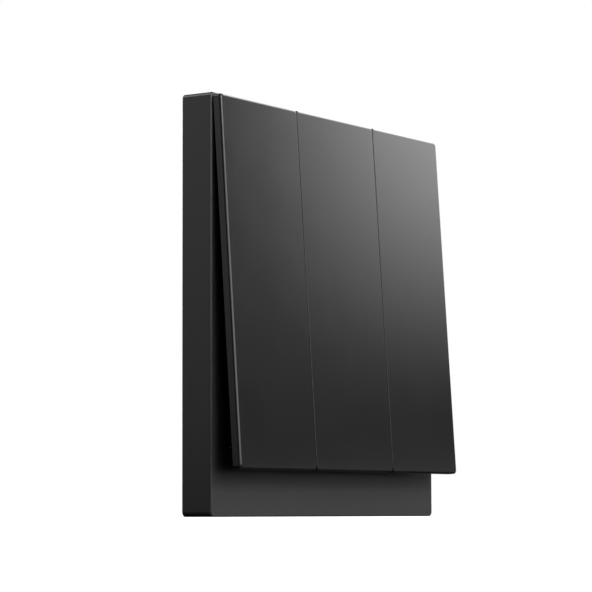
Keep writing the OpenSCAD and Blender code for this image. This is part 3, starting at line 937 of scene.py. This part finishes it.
# %% [markdown]
# ## Where the lights stand
#
# The camera looks from the left, so the panels mirror what stands at the right. Two overlapping
# key panels there draw the long gradient, and two low ones lift the bottom strip. Sheets in front
# lift everything a little, weak ones at the left show the plate's side, and one high behind draws
# the bright line along its top. The last two are for looking at the part from behind and from
# the right.

# %% Light panels
KEY_AZIMUTH, KEY_ELEVATION, KEY_DISTANCE = 57.0, 12.0, 0.45
KEY_NEARER = 0.998      # keeps the two key panels from sharing one plane
key_origin = towards(KEY_AZIMUTH, KEY_ELEVATION, KEY_DISTANCE)
key_turn = math.radians(KEY_AZIMUTH)
key_right = Vector((math.cos(key_turn), math.sin(key_turn), 0.0))
key_up = key_right.cross(-key_origin.normalized())


def on_key_plane(u, v):
    """A point u to the right of the key panels' origin and v above it."""
    return key_origin + u * key_right + v * key_up


wide_key = on_key_plane(0.1725, 0.1625)
near_key = KEY_NEARER * on_key_plane(0.19, 0.1625)
KEY_AIM = wide_key - key_origin
CENTRE = Vector((0.0, 0.0, 0.0))
STRIP = Vector((0.0, 0.0, -0.036))
# name, centre, aim, width, height, strength, fades at the left, right, bottom and top
PANELS = (
    ("key_wide", wide_key, KEY_AIM, 0.455, 0.475, 3.03, (0.19, 0.1, 0.15, 0.1)),
    ("key_near", near_key, KEY_AIM, 0.42, 0.475, 1.57, (0.12, 0.1, 0.15, 0.1)),
    ("low_right", towards(50.0, -14.0, 0.5), STRIP, 0.3, 0.2, 0.2, (0.08, 0.08, 0.05, 0.05)),
    ("low_line", towards(57.0, -2.0, 0.5), STRIP, 0.26, 0.06, 0.25, (0.08, 0.08, 0.015, 0.01)),
    ("front", towards(-5.0, 11.0, 0.5), CENTRE, 1.0, 0.2, 3.0, (0.2, 0.2, 0.04, 0.04)),
    ("front_raised", towards(0.0, 25.0, 0.6), CENTRE, 0.6, 0.16, 9.5, (0.15, 0.15, 0.04, 0.04)),
    ("front_high", towards(0.0, 45.0, 0.6), CENTRE, 0.6, 0.4, 3.5, (0.15, 0.15, 0.1, 0.1)),
    ("left_high", towards(-124.0, 14.0, 0.5), CENTRE, 0.4, 0.2, 0.7, (0.1, 0.1, 0.12, 0.04)),
    ("left_low", towards(-124.0, 3.0, 0.5), CENTRE, 0.4, 0.15, 0.33, (0.1, 0.1, 0.04, 0.04)),
    ("top_back", towards(-150.0, 50.0, 0.6), CENTRE, 0.5, 0.35, 2.3, (0.12, 0.12, 0.1, 0.1)),
    ("back", towards(168.0, 22.0, 0.6), CENTRE, 0.6, 0.4, 6.0, (0.15, 0.15, 0.12, 0.12)),
    ("right", towards(105.0, 30.0, 0.6), CENTRE, 0.4, 0.4, 3.0, (0.12, 0.12, 0.12, 0.12)),
)
for panel_values in PANELS:
    light_panel(*panel_values)
    print(panel_values[0], "strength", panel_values[5])

# %% [markdown]
# The surroundings are white where the camera looks past the object, so the picture has a clean
# background. For lighting they are only a dim grey, as in a studio with dark far walls, because a
# white room all round would wash out the gradient on the panels.

# %% Surroundings
SKY_LIGHT = 0.01        # strength for lighting
SKY_SEEN = 1.0          # strength where the camera looks past the object
world = bpy.data.worlds.new("studio")
scene.world = world
world.use_nodes = True
sky = world.node_tree
sky.nodes.clear()
sky_out = sky.nodes.new("ShaderNodeOutputWorld")
sky_mix = sky.nodes.new("ShaderNodeMixShader")
sky_ray = sky.nodes.new("ShaderNodeLightPath")
sky.links.new(sky_ray.outputs["Is Camera Ray"], sky_mix.inputs["Fac"])
for place_in_mix, strength in ((1, SKY_LIGHT), (2, SKY_SEEN)):
    background = sky.nodes.new("ShaderNodeBackground")
    background.inputs["Color"].default_value = (1.0, 1.0, 1.0, 1.0)
    background.inputs["Strength"].default_value = strength
    sky.links.new(background.outputs["Background"], sky_mix.inputs[place_in_mix])
sky.links.new(sky_mix.outputs["Shader"], sky_out.inputs["Surface"])
print("surroundings light", SKY_LIGHT, "seen", SKY_SEEN)

# %% [markdown]
# ## Check what still shows as CAD
#
# The looks never change the object's size. The last step lists any CAD node that is still shown.

# %% Finish
still_shown = [name for name, node in frame["nodes"].items() if not node.hide_render]
print("still shown as CAD:", still_shown or "none")
